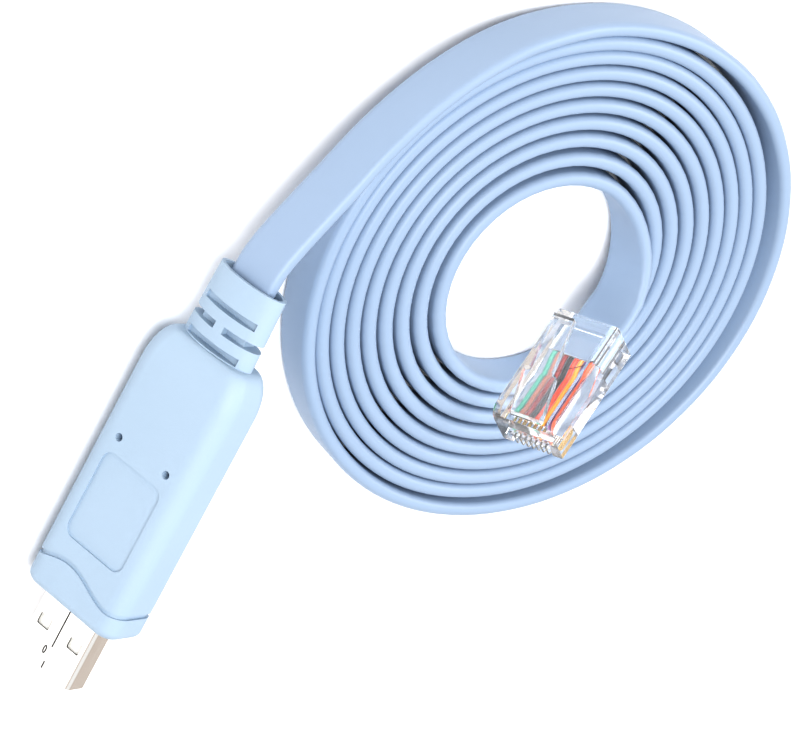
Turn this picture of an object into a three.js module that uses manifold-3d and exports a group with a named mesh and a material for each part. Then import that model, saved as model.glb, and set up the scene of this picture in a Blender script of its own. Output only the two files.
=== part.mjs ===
// A USB to RJ45 console cable, lying on a level floor in millimetres, +Z up: a flat cable wound
// into one flat coil, a moulded USB-A plug on its outer end and a clear RJ45 plug on its inner end.
import * as THREE from 'three';
import { mergeVertices } from 'three/addons/utils/BufferGeometryUtils.js';
import Module from 'manifold-3d';

const wasm = await Module();
wasm.setup();

// Flat cable and its coil
const CABLE_WIDTH = 8.5;
const CABLE_THICK = 2.5;
const FACE_GAP = 0.3; // clearance between two pieces that meet face to face
const COIL_OUTER_R = 46.2;
const COIL_BORE_R = 19.7;
const COIL_TURNS = 9;
const GROOVE_WIDTH = 0.9; // mouth of the valley between two turns
const GROOVE_DEPTH = 0.7;
const COIL_SEGMENTS = 48;

// Stamped steel shell of the USB-A plug
const SHELL_WIDTH = 12.0;
const SHELL_HEIGHT = 4.5;
const SHELL_WALL = 0.3;
const SHELL_CORNER_R = 0.6;
const SHELL_EXPOSED = 11.8; // from the shell's mouth to the overmold
const SHELL_BURIED = 7.0; // inside the overmold
const WINDOW_FROM_MOUTH = 5.75;
const WINDOW_LENGTH = 1.9;
const WINDOW_WIDTH = 2.5;
const WINDOW_SPACING = 6.8; // between the centres of the two windows

// Plastic tongue and its four contacts
const TONGUE_SETBACK = 1.0; // from the shell's mouth
const TONGUE_THICK = 1.8;
const TONGUE_CLEAR = 0.2; // between the insulator and the shell
const INSULATOR_BLOCK_FROM_MOUTH = 9.5;
const PIN_WIDTH = 1.0;
const PIN_THICK = 0.3;
const PIN_LENGTH = 7.2;
const PIN_PITCHES = [-3.5, -1.0, 1.0, 3.5]; // across the tongue
const PIN_SETBACK = 0.7; // from the tongue's tip
const PIN_CLEAR = 0.15;

// One-piece overmold with its strain relief
const BODY_WIDTH = 19.6;
const BODY_THICK = 10.6;
const BODY_CORNER_R = 3.2;
const BODY_CORNER_STEPS = 6; // steps in each rounded corner
const BODY_LENGTH = 48.0;
const NOSE_ROUND = 1.5; // rounding of the front rim
const SHOULDER_LENGTH = 7.0;
const RELIEF_ROOT_WIDTH = 13.0;
const RELIEF_ROOT_THICK = 6.2;
const RELIEF_END_WIDTH = 12.0;
const RELIEF_END_THICK = 5.6;
const RELIEF_CORNER_R = 1.8;
const RELIEF_LENGTH = 12.4;
const RELIEF_WALL = 0.6; // rubber over the cable at the bottom of a slot
const SLOT_WIDTH = 1.6;
const SLOT_FIRST = 0.2; // from the body to the first slot
const RIB_WIDTH = 1.5;
const SIDE_BRIDGE = 1.3; // rubber left beside a face slot
const MIDDLE_BRIDGE = 1.8; // rubber left between the two side slots
const SHELL_POCKET_CLEAR = 0.3;
const LIGHT_HOLE_R = 0.6;
const LIGHT_HOLE_DEPTH = 1.6;
const LIGHT_HOLE_SPACING = 10.4;
const LIGHT_HOLE_BACK = 27.8; // from the overmold's front rim
const PANEL_LENGTH = 14.3;
const PANEL_WIDTH = 10.6;
const PANEL_CORNER_R = 1.8;
const PANEL_DEPTH = 0.25;
const PANEL_BACK = 17.6; // centre of the panel from the front rim
const WAVE_BACK = 5.3; // middle of the wavy groove from the front rim
const WAVE_HEIGHT = 1.4;
const WAVE_CREST = -2.5; // where across the width its crest lies
const WAVE_GROOVE = 0.7;
const WAVE_DEPTH = 0.45;

// Clear RJ45 plug
const PLUG_LENGTH = 22.0;
const PLUG_WIDTH = 11.9;
const PLUG_THICK = 7.9;
const RAIL_WIDTH = 1.5; // raised rails on the latch side
const RAIL_HEIGHT = 1.4;
const RAIL_BACK = 2.2; // solid bar behind the recess between the rails
const NOSE_CHAMFER = 1.0;
const JACKET_GRIP = 6.5; // how far the jacket goes into the plug
const BAY_CLEAR = 0.3;
const FUNNEL_LENGTH = 1.6;
const WIRE_COUNT = 8;
const WIRE_PITCH = 1.02;
const WIRE_DIAMETER = 0.76;
const WIRE_DROP = 1.5; // the wires lie this much nearer the contact side than the jacket
const WIRE_BEND = 4.0;
const WIRE_FROM_NOSE = 2.4; // from the plug's nose to the wires' ends
const BLADE_LENGTH = 4.2;
const BLADE_THICK = 0.35;
const BLADE_SETBACK = 0.9; // from the plug's nose
const BLADE_RECESS = 0.25; // below the contact side
const BLADE_SLOT = 0.66;
const BLADE_TO_WIRE = 0.2;
const LATCH_WIDTH = 6.2;
const LATCH_TAIL_WIDTH = 4.2;
const LATCH_THICK = 1.2;
const LATCH_FROM_NOSE = 1.2; // where it springs from the body
const LATCH_FOOT = 6.8; // from there back to its shoulders
const LATCH_LENGTH = 16.2;
const LATCH_SHOULDER_RISE = 1.9; // above the rails
const LATCH_TIP_RISE = 5.0;
const LATCH_BLEND = 0.2; // how far the root reaches into the body and above the rails

// Where the pieces lie, with the coil's axis at x = 0, y = 0
const USB_MOUTH = [-83.6, 55.8]; // the USB plug points along -X
const USB_LEAN = THREE.MathUtils.degToRad(20.8); // it rests on its narrow side and leans
const PLUG_BACK = [-5.0, -12.4, 11.0]; // where the cable enters the RJ45 plug
const PLUG_HEADING = THREE.MathUtils.degToRad(146.9);
const PLUG_RISE = THREE.MathUtils.degToRad(23.7);
const PLUG_ROLL = THREE.MathUtils.degToRad(85.3);
const LEAD_STEPS = 20;
const TAIL_STEPS = 12;
const RUN_PAST = 1.0; // how far a cut or a joined root runs on past the face it meets

const STEEL = { color: 0xe6e2da, metalness: 1.0, roughness: 0.22 };
const GOLD = { color: 0xd9a441, metalness: 1.0, roughness: 0.25 };
const TONGUE_PLASTIC = { color: 0xf2f2ee, metalness: 0.0, roughness: 0.5 };
const BLUE_RUBBER = { color: 0xb9d3ee, metalness: 0.0, roughness: 0.55 };
const BLUE_JACKET = { color: 0xa9c6e6, metalness: 0.0, roughness: 0.45 };
const CLEAR_PLASTIC = {
  color: 0xeef3f6, metalness: 0.0, roughness: 0.08, transparent: true, opacity: 0.4,
};
const WIRE_COLOURS = [
  ['wire_green', 0x2fa58c], ['wire_brown', 0xb98069], ['wire_red', 0x9c1f1a],
  ['wire_black', 0x14100f], ['wire_orange', 0xee5128], ['wire_yellow', 0xf7a11d],
  ['wire_purple', 0x7c3486], ['wire_coral', 0xef7045],
];

const BODY_FRONT = SHELL_EXPOSED;
const BODY_BACK = BODY_FRONT + BODY_LENGTH;
const RELIEF_END = BODY_BACK + RELIEF_LENGTH;
const WIRE_END = PLUG_LENGTH - WIRE_FROM_NOSE;
const LATCH_ROOT = PLUG_LENGTH - LATCH_FROM_NOSE;
const LATCH_SHOULDER = LATCH_ROOT - LATCH_FOOT;
const LATCH_TIP = LATCH_ROOT - LATCH_LENGTH;

// Height of the leaning overmold's centre line when its lower corner touches the floor
const USB_AXIS_Z = (BODY_WIDTH / 2 - BODY_CORNER_R) * Math.cos(USB_LEAN)
  + (BODY_THICK / 2 - BODY_CORNER_R) * Math.sin(USB_LEAN) + BODY_CORNER_R;

// The outer end of the cable, from the strain relief to the side of the coil
const LEAD_ROUTE = [
  [USB_MOUTH[0] + RELIEF_END + FACE_GAP, USB_MOUTH[1], USB_AXIS_Z],
  [-8.0, 55.6, 10.1],
  [-4.5, 54.6, 10.0],
  [0.0, 52.9, 9.8],
  [7.0, 49.9, 9.3],
  [15.0, 46.2, 8.6],
  [21.8, 42.6, 8.0],
];

// The inner end of the cable, from the bore of the coil up to the back of the RJ45 plug
const TAIL_ROUTE = [
  [11.0, -14.4, 5.3],
  [6.0, -16.4, 6.4],
  [1.1, -16.3, 7.8],
  [-2.7, -13.9, 9.8],
  [
    PLUG_BACK[0] - FACE_GAP * Math.cos(PLUG_RISE) * Math.cos(PLUG_HEADING),
    PLUG_BACK[1] - FACE_GAP * Math.cos(PLUG_RISE) * Math.sin(PLUG_HEADING),
    PLUG_BACK[2] - FACE_GAP * Math.sin(PLUG_RISE),
  ],
];

function toSolid(geometry) {
  const bare = geometry.index ? geometry.toNonIndexed() : geometry.clone();
  bare.deleteAttribute('normal');
  bare.deleteAttribute('uv');
  const merged = mergeVertices(bare, 1e-5);
  return new wasm.Manifold(new wasm.Mesh({
    numProp: 3,
    vertProperties: new Float32Array(merged.attributes.position.array),
    triVerts: new Uint32Array(merged.index.array),
  }));
}

function toGeometry(solid) {
  const mesh = solid.getMesh();
  const geometry = new THREE.BufferGeometry();
  geometry.setAttribute('position', new THREE.BufferAttribute(new Float32Array(mesh.vertProperties), 3));
  geometry.setIndex(new THREE.BufferAttribute(new Uint32Array(mesh.triVerts), 1));
  geometry.computeVertexNormals();
  return geometry;
}

function piece(name, geometry, finish) {
  const mesh = new THREE.Mesh(geometry, new THREE.MeshStandardMaterial(finish));
  mesh.name = name;
  return mesh;
}

// A box between two values on each axis
function block([x0, x1], [y0, y1], [z0, z1]) {
  const box = new THREE.BoxGeometry(x1 - x0, y1 - y0, z1 - z0);
  return box.translate((x0 + x1) / 2, (y0 + y1) / 2, (z0 + z1) / 2);
}

function roundedShape(width, height, radius) {
  const w = width / 2;
  const h = height / 2;
  const shape = new THREE.Shape();
  shape.moveTo(w, -h + radius);
  shape.lineTo(w, h - radius);
  shape.absarc(w - radius, h - radius, radius, 0, Math.PI / 2);
  shape.lineTo(-w + radius, h);
  shape.absarc(-w + radius, h - radius, radius, Math.PI / 2, Math.PI);
  shape.lineTo(-w, -h + radius);
  shape.absarc(-w + radius, -h + radius, radius, Math.PI, Math.PI * 1.5);
  shape.lineTo(w - radius, -h);
  shape.absarc(w - radius, -h + radius, radius, Math.PI * 1.5, Math.PI * 2);
  return shape;
}

// Turns an extrusion so that it runs along +X, with its shape's x on Y and its shape's y on Z
const ALONG_X = new THREE.Matrix4().makeBasis(
  new THREE.Vector3(0, 1, 0), new THREE.Vector3(0, 0, 1), new THREE.Vector3(1, 0, 0),
);

function bar(thick, width, radius, x0, x1, curveSegments = 3) {
  const shape = roundedShape(thick, width, radius);
  const geometry = new THREE.ExtrudeGeometry(shape, { depth: x1 - x0, bevelEnabled: false, curveSegments });
  return geometry.applyMatrix4(ALONG_X).translate(x0, 0, 0);
}

// A bar whose width and thickness change from station to station: each is [x, thick, width]
function loftedBar(thick, width, radius, stations, curveSegments) {
  const steps = stations.length - 1;
  const geometry = new THREE.ExtrudeGeometry(roundedShape(thick, width, radius), {
    depth: steps, steps, bevelEnabled: false, curveSegments,
  }).applyMatrix4(ALONG_X);
  const at = geometry.attributes.position;
  for (let i = 0; i < at.count; i += 1) {
    const [x, stationThick, stationWidth] = stations[Math.round(at.getX(i))];
    at.setXYZ(i, x, at.getY(i) * stationThick / thick, at.getZ(i) * stationWidth / width);
  }
  return geometry;
}

function bodyStations() {
  const stations = [];
  const arcSteps = 3;
  for (let i = 0; i <= arcSteps; i += 1) {
    const turn = (i / arcSteps) * Math.PI / 2;
    const inset = 2 * NOSE_ROUND * (1 - Math.sin(turn));
    const x = BODY_FRONT + NOSE_ROUND * (1 - Math.cos(turn));
    stations.push([x, BODY_THICK - inset, BODY_WIDTH - inset]);
  }
  const shoulderSteps = 6;
  for (let i = 0; i <= shoulderSteps; i += 1) {
    const turn = (i / shoulderSteps) * Math.PI / 2;
    const inset = 1 - Math.cos(turn);
    stations.push([
      BODY_BACK - SHOULDER_LENGTH * (1 - Math.sin(turn)),
      BODY_THICK - (BODY_THICK - RELIEF_ROOT_THICK) * inset,
      BODY_WIDTH - (BODY_WIDTH - RELIEF_ROOT_WIDTH) * inset,
    ]);
  }
  return stations;
}

// The strain relief with a face slot, a pair of side slots and another face slot
function strainRelief() {
  const relief = toSolid(loftedBar(RELIEF_ROOT_THICK, RELIEF_ROOT_WIDTH, RELIEF_CORNER_R, [
    [BODY_BACK - RUN_PAST, RELIEF_ROOT_THICK, RELIEF_ROOT_WIDTH],
    [RELIEF_END, RELIEF_END_THICK, RELIEF_END_WIDTH],
  ], 4));
  const core = toSolid(block(
    [BODY_BACK - 2 * RUN_PAST, RELIEF_END + RUN_PAST],
    [-CABLE_THICK / 2 - RELIEF_WALL, CABLE_THICK / 2 + RELIEF_WALL],
    [-CABLE_WIDTH / 2 - RELIEF_WALL, CABLE_WIDTH / 2 + RELIEF_WALL],
  ));
  const slotStart = (index) => BODY_BACK + SLOT_FIRST + index * (SLOT_WIDTH + RIB_WIDTH);
  const faceSlotHalf = RELIEF_END_WIDTH / 2 - SIDE_BRIDGE;
  const faceSlot = (index) => toSolid(block(
    [slotStart(index), slotStart(index) + SLOT_WIDTH],
    [-RELIEF_ROOT_THICK, RELIEF_ROOT_THICK],
    [-faceSlotHalf, faceSlotHalf],
  ));
  const sideSlots = toSolid(block(
    [slotStart(1), slotStart(1) + SLOT_WIDTH],
    [-RELIEF_ROOT_THICK, RELIEF_ROOT_THICK],
    [-RELIEF_ROOT_WIDTH, RELIEF_ROOT_WIDTH],
  )).subtract(toSolid(block(
    [slotStart(1) - SLOT_WIDTH, slotStart(1) + 2 * SLOT_WIDTH],
    [-2 * RELIEF_ROOT_THICK, 2 * RELIEF_ROOT_THICK],
    [-MIDDLE_BRIDGE / 2, MIDDLE_BRIDGE / 2],
  )));
  const slots = faceSlot(0).add(faceSlot(2)).add(sideSlots).subtract(core);
  return relief.subtract(slots);
}

// A shallow groove that runs round the overmold and waves across its two wide faces
function waveGroove(body) {
  const half = BODY_WIDTH / 2 + RUN_PAST;
  const points = 24;
  const edge = (side) => Array.from({ length: points + 1 }, (_, i) => {
    const across = -half + (2 * half * i) / points;
    const phase = (2 * Math.PI * (across - WAVE_CREST)) / BODY_WIDTH;
    const along = BODY_FRONT + WAVE_BACK + WAVE_HEIGHT * Math.cos(phase) + side * WAVE_GROOVE / 2;
    return new THREE.Vector2(along, across);
  });
  const band = new THREE.Shape([...edge(-1), ...edge(1).reverse()]);
  const tall = 2 * BODY_THICK;
  const geometry = new THREE.ExtrudeGeometry(band, { depth: tall, bevelEnabled: false });
  geometry.rotateX(Math.PI / 2).translate(0, tall / 2, 0);
  const inner = toSolid(bar(
    BODY_THICK - 2 * WAVE_DEPTH, BODY_WIDTH - 2 * WAVE_DEPTH, BODY_CORNER_R - WAVE_DEPTH,
    BODY_FRONT - RUN_PAST, BODY_BACK, BODY_CORNER_STEPS,
  ));
  return body.subtract(toSolid(geometry).subtract(inner));
}

function overmold() {
  let solid = toSolid(loftedBar(BODY_THICK, BODY_WIDTH, BODY_CORNER_R, bodyStations(), BODY_CORNER_STEPS));
  solid = waveGroove(solid).add(strainRelief());
  const pocket = bar(
    SHELL_HEIGHT + 2 * SHELL_POCKET_CLEAR, SHELL_WIDTH + 2 * SHELL_POCKET_CLEAR,
    SHELL_CORNER_R + SHELL_POCKET_CLEAR,
    BODY_FRONT - RUN_PAST, SHELL_EXPOSED + SHELL_BURIED + SHELL_POCKET_CLEAR,
  );
  solid = solid.subtract(toSolid(pocket));
  const panel = new THREE.ExtrudeGeometry(roundedShape(PANEL_LENGTH, PANEL_WIDTH, PANEL_CORNER_R), {
    depth: PANEL_DEPTH + RUN_PAST, bevelEnabled: false, curveSegments: 4,
  });
  panel.rotateX(-Math.PI / 2).translate(BODY_FRONT + PANEL_BACK, BODY_THICK / 2 - PANEL_DEPTH, 0);
  solid = solid.subtract(toSolid(panel));
  for (const side of [-1, 1]) {
    const hole = new THREE.CylinderGeometry(LIGHT_HOLE_R, LIGHT_HOLE_R, 2 * LIGHT_HOLE_DEPTH, 12);
    hole.translate(BODY_FRONT + LIGHT_HOLE_BACK, BODY_THICK / 2, side * LIGHT_HOLE_SPACING / 2);
    solid = solid.subtract(toSolid(hole));
  }
  return piece('usb_overmold', toGeometry(solid), BLUE_RUBBER);
}

function usbShell() {
  const length = SHELL_EXPOSED + SHELL_BURIED;
  const inset = 2 * SHELL_WALL;
  let solid = toSolid(bar(SHELL_HEIGHT, SHELL_WIDTH, SHELL_CORNER_R, 0, length));
  solid = solid.subtract(toSolid(bar(
    SHELL_HEIGHT - inset, SHELL_WIDTH - inset, SHELL_CORNER_R - SHELL_WALL, -RUN_PAST, length + RUN_PAST,
  )));
  for (const side of [-1, 1]) {
    const middle = side * WINDOW_SPACING / 2;
    solid = solid.subtract(toSolid(block(
      [WINDOW_FROM_MOUTH, WINDOW_FROM_MOUTH + WINDOW_LENGTH],
      [-SHELL_HEIGHT, SHELL_HEIGHT],
      [middle - WINDOW_WIDTH / 2, middle + WINDOW_WIDTH / 2],
    )));
  }
  return piece('usb_shell', toGeometry(solid), STEEL);
}

const TONGUE_TOP = SHELL_HEIGHT / 2 - SHELL_WALL - TONGUE_CLEAR;
const TONGUE_FACE = TONGUE_TOP - TONGUE_THICK; // the face that carries the contacts
const INSULATOR_HALF_WIDTH = SHELL_WIDTH / 2 - SHELL_WALL - TONGUE_CLEAR;

function usbInsulator() {
  const across = [-INSULATOR_HALF_WIDTH, INSULATOR_HALF_WIDTH];
  const end = SHELL_EXPOSED + SHELL_BURIED - TONGUE_CLEAR;
  let solid = toSolid(block([TONGUE_SETBACK, end], [TONGUE_FACE, TONGUE_TOP], across));
  solid = solid.add(toSolid(block([INSULATOR_BLOCK_FROM_MOUTH, end], [-TONGUE_TOP, TONGUE_TOP], across)));
  for (const pitch of PIN_PITCHES) {
    const start = TONGUE_SETBACK + PIN_SETBACK - PIN_CLEAR;
    solid = solid.subtract(toSolid(block(
      [start, start + PIN_LENGTH + 2 * PIN_CLEAR],
      [TONGUE_FACE - RUN_PAST, TONGUE_FACE + PIN_THICK + PIN_CLEAR],
      [pitch - PIN_WIDTH / 2 - PIN_CLEAR, pitch + PIN_WIDTH / 2 + PIN_CLEAR],
    )));
  }
  return piece('usb_insulator', toGeometry(solid), TONGUE_PLASTIC);
}

function usbPins() {
  const start = TONGUE_SETBACK + PIN_SETBACK;
  return PIN_PITCHES.map((pitch, index) => piece(`usb_contact_${index + 1}`, block(
    [start, start + PIN_LENGTH],
    [TONGUE_FACE, TONGUE_FACE + PIN_THICK],
    [pitch - PIN_WIDTH / 2, pitch + PIN_WIDTH / 2],
  ), GOLD));
}

// The coil as one turned ring with its bore, the turns standing out on both ends
function coil() {
  const pitch = (COIL_OUTER_R - COIL_BORE_R) / COIL_TURNS;
  const edge = [[COIL_BORE_R, 0]];
  for (let turn = 1; turn < COIL_TURNS; turn += 1) {
    const valley = COIL_BORE_R + turn * pitch;
    edge.push([valley - GROOVE_WIDTH / 2, 0], [valley, GROOVE_DEPTH], [valley + GROOVE_WIDTH / 2, 0]);
  }
  edge.push([COIL_OUTER_R, 0]);
  const lower = edge.map(([r, sink]) => new THREE.Vector2(r, sink));
  const upper = edge.map(([r, sink]) => new THREE.Vector2(r, CABLE_WIDTH - sink)).reverse();
  const ring = new THREE.LatheGeometry([...lower, ...upper, lower[0]], COIL_SEGMENTS);
  return piece('cable_coil', ring.rotateX(Math.PI / 2), BLUE_JACKET);
}

// A flat cable swept along its route, its width standing upright
function flatStretch(name, route, steps) {
  const path = new THREE.CatmullRomCurve3(route.map((point) => new THREE.Vector3(...point)));
  const section = new THREE.Shape();
  const w = CABLE_WIDTH / 2;
  const t = CABLE_THICK / 2;
  const cut = t / 2;
  section.moveTo(w, -cut);
  [[w, cut], [w - cut, t], [-w + cut, t], [-w, cut], [-w, -cut], [-w + cut, -t], [w - cut, -t]]
    .forEach(([x, y]) => section.lineTo(x, y));
  const geometry = new THREE.ExtrudeGeometry(section, { steps, extrudePath: path });
  return piece(name, geometry, BLUE_JACKET);
}

// Side view of the latch: it springs from the plug's nose and rises towards its free tip
function latchProfile() {
  const top = PLUG_THICK / 2;
  const root = top - RAIL_HEIGHT - LATCH_BLEND;
  const shape = new THREE.Shape();
  shape.moveTo(LATCH_ROOT, root);
  shape.lineTo(LATCH_ROOT, top + LATCH_BLEND);
  shape.lineTo(LATCH_SHOULDER, top + LATCH_SHOULDER_RISE + LATCH_THICK);
  shape.lineTo(LATCH_TIP, top + LATCH_TIP_RISE + LATCH_THICK);
  shape.lineTo(LATCH_TIP, top + LATCH_TIP_RISE);
  shape.lineTo(LATCH_SHOULDER, top + LATCH_SHOULDER_RISE);
  shape.lineTo(LATCH_ROOT - LATCH_THICK, top - RAIL_HEIGHT + LATCH_THICK);
  shape.lineTo(LATCH_ROOT - LATCH_THICK, root);
  return shape;
}

// Extrudes a side view, drawn in x and z, across the plug's width
function sideExtrusion(shape, width) {
  const geometry = new THREE.ExtrudeGeometry(shape, { depth: width, bevelEnabled: false });
  return geometry.rotateX(Math.PI / 2).translate(0, width / 2, 0);
}

function plugBody() {
  const halfWidth = PLUG_WIDTH / 2;
  const top = PLUG_THICK / 2;
  const wireZ = -WIRE_DROP;
  const side = new THREE.Shape();
  side.moveTo(0, -top);
  side.lineTo(PLUG_LENGTH, -top);
  side.lineTo(PLUG_LENGTH, top - RAIL_HEIGHT - NOSE_CHAMFER);
  side.lineTo(PLUG_LENGTH - NOSE_CHAMFER, top - RAIL_HEIGHT);
  side.lineTo(PLUG_LENGTH - NOSE_CHAMFER - RAIL_HEIGHT, top);
  side.lineTo(0, top);
  let solid = toSolid(sideExtrusion(side, PLUG_WIDTH));
  solid = solid.subtract(toSolid(block(
    [RAIL_BACK, PLUG_LENGTH + RUN_PAST], [-halfWidth + RAIL_WIDTH, halfWidth - RAIL_WIDTH],
    [top - RAIL_HEIGHT, top + RUN_PAST],
  )));
  const jacketBay = block(
    [-RUN_PAST, JACKET_GRIP + BAY_CLEAR],
    [-CABLE_WIDTH / 2 - BAY_CLEAR, CABLE_WIDTH / 2 + BAY_CLEAR],
    [-CABLE_THICK / 2 - BAY_CLEAR, CABLE_THICK / 2 + BAY_CLEAR],
  );
  const wireHalf = (WIRE_COUNT * WIRE_PITCH) / 2 + BAY_CLEAR;
  const wireRoom = WIRE_DIAMETER / 2 + BAY_CLEAR;
  const funnel = new THREE.Shape();
  funnel.moveTo(JACKET_GRIP, -wireRoom - BAY_CLEAR);
  funnel.lineTo(JACKET_GRIP + FUNNEL_LENGTH, wireZ - wireRoom);
  funnel.lineTo(WIRE_END + BAY_CLEAR, wireZ - wireRoom);
  funnel.lineTo(WIRE_END + BAY_CLEAR, wireZ + wireRoom);
  funnel.lineTo(JACKET_GRIP + WIRE_BEND + FUNNEL_LENGTH, wireZ + wireRoom);
  funnel.lineTo(JACKET_GRIP, wireRoom + BAY_CLEAR);
  solid = solid.subtract(toSolid(jacketBay).add(toSolid(sideExtrusion(funnel, 2 * wireHalf))));
  for (let i = 0; i < WIRE_COUNT; i += 1) {
    const y = wirePlace(i);
    solid = solid.subtract(toSolid(block(
      [PLUG_LENGTH - BLADE_SETBACK - BLADE_LENGTH - BAY_CLEAR, PLUG_LENGTH + RUN_PAST],
      [y - BLADE_SLOT / 2, y + BLADE_SLOT / 2],
      [-top - RUN_PAST, wireZ - WIRE_DIAMETER / 2],
    )));
  }
  const latch = toSolid(sideExtrusion(latchProfile(), LATCH_WIDTH));
  const tail = toSolid(block(
    [LATCH_TIP - RUN_PAST, LATCH_SHOULDER],
    [-LATCH_WIDTH, LATCH_WIDTH],
    [top, top + LATCH_TIP_RISE + 2 * LATCH_THICK],
  )).subtract(toSolid(block(
    [LATCH_TIP - 2 * RUN_PAST, LATCH_SHOULDER + RUN_PAST],
    [-LATCH_TAIL_WIDTH / 2, LATCH_TAIL_WIDTH / 2],
    [0, top + LATCH_TIP_RISE + LATCH_SHOULDER],
  )));
  solid = solid.add(latch.subtract(tail));
  return piece('rj45_body', toGeometry(solid), CLEAR_PLASTIC);
}

function wirePlace(index) {
  return (index - (WIRE_COUNT - 1) / 2) * WIRE_PITCH;
}

// A conductor: straight out of the jacket, down towards the contact side, straight to its end
function wire(index) {
  const [name, color] = WIRE_COLOURS[index];
  const y = wirePlace(index);
  const start = JACKET_GRIP + FACE_GAP;
  const path = new THREE.CatmullRomCurve3([
    [start, 0], [start + WIRE_BEND / 4, -WIRE_DROP / 8], [start + WIRE_BEND / 2, -WIRE_DROP / 2],
    [start + WIRE_BEND, -WIRE_DROP], [WIRE_END, -WIRE_DROP],
  ].map(([x, z]) => new THREE.Vector3(x, y, z)));
  const section = new THREE.Shape().absarc(0, 0, WIRE_DIAMETER / 2, 0, Math.PI * 2);
  const geometry = new THREE.ExtrudeGeometry(section, { steps: 8, curveSegments: 4, extrudePath: path });
  return piece(name, geometry, { color, metalness: 0, roughness: 0.4 });
}

function blade(index) {
  const y = wirePlace(index);
  const nose = PLUG_LENGTH - BLADE_SETBACK;
  return piece(`rj45_contact_${index + 1}`, block(
    [nose - BLADE_LENGTH, nose],
    [y - BLADE_THICK / 2, y + BLADE_THICK / 2],
    [-PLUG_THICK / 2 + BLADE_RECESS, -WIRE_DROP - WIRE_DIAMETER / 2 - BLADE_TO_WIRE],
  ), GOLD);
}

function jacketEnd() {
  const end = bar(CABLE_WIDTH, CABLE_THICK, CABLE_THICK / 4, 0, JACKET_GRIP, 2);
  return piece('cable_end', end, BLUE_JACKET);
}

const usbPlug = new THREE.Group();
usbPlug.position.set(USB_MOUTH[0], USB_MOUTH[1], USB_AXIS_Z);
usbPlug.rotation.x = USB_LEAN;
usbPlug.add(usbShell(), usbInsulator(), ...usbPins(), overmold());

const rj45Plug = new THREE.Group();
rj45Plug.position.set(...PLUG_BACK);
rj45Plug.rotation.set(PLUG_ROLL, -PLUG_RISE, PLUG_HEADING, 'ZYX');
rj45Plug.add(plugBody(), jacketEnd());
for (let i = 0; i < WIRE_COUNT; i += 1) rj45Plug.add(wire(i), blade(i));

const cable = new THREE.Group();
cable.add(flatStretch('cable_lead', LEAD_ROUTE, LEAD_STEPS), coil());
cable.add(flatStretch('cable_tail', TAIL_ROUTE, TAIL_STEPS));

const group = new THREE.Group();
group.add(usbPlug, rj45Plug, cable);

// The origin is under the middle of the two plugs, on the floor
group.updateMatrixWorld(true);
const plugs = new THREE.Box3().expandByObject(usbPlug, true).union(
  new THREE.Box3().expandByObject(rj45Plug, true),
);
group.position.set(-(plugs.min.x + plugs.max.x) / 2, -(plugs.min.y + plugs.max.y) / 2, -plugs.min.z);

export default group;
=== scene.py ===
import math
from contextlib import contextmanager

import bmesh
import bpy
from mathutils import Matrix, Vector


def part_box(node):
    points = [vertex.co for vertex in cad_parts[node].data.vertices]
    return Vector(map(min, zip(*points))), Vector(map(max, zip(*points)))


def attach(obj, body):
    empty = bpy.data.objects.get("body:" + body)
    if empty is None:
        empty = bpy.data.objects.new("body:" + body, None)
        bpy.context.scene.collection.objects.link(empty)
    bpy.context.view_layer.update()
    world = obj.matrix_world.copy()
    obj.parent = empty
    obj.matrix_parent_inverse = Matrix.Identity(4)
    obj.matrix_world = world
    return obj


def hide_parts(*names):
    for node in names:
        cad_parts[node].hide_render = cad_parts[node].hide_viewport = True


# A USB to RJ45 console cable on a pale floor. Sizes are in millimetres unless a name says
# otherwise, and a finished piece is brought to metres when it is put in place.

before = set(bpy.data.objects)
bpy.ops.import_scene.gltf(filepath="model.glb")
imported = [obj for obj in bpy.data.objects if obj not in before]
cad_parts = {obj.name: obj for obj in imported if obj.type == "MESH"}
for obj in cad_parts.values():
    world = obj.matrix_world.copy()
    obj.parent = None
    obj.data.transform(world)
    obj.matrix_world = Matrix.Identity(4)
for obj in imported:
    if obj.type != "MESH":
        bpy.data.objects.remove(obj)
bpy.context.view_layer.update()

MM = 0.001


def middle(node):
    low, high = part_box(node)
    return (Vector(low) + Vector(high)) / 2


# The coil's axis where it meets the floor: the cable's route is written from here
COIL_AXIS = Vector((middle("cable_coil").x, middle("cable_coil").y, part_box("cable_coil")[0][2])) / MM

# Flat cable
CABLE_WIDTH = 8.5
CABLE_THICK = 2.5
CABLE_CORNER = 1.15
CORNER_STEPS = 5
CABLE_STEP = 2.4  # between the sections of its mesh
ROUTE_STEP = 0.5

# Camera: it looks down on the coil with the picture rolled, so that up lies to the lower right
LOOK_HEADING = math.radians(-114.757)
LOOK_DOWN = math.radians(44.7)
LOOK_ROLL = math.radians(136.75)
RIM_RIGHT = 23.871  # the middle of the coil's top rim, right of the middle of the picture
RIM_ABOVE = 13.194
RIM_DISTANCE = 548.387
LENS = 153.0
SENSOR = 36.0

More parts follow.
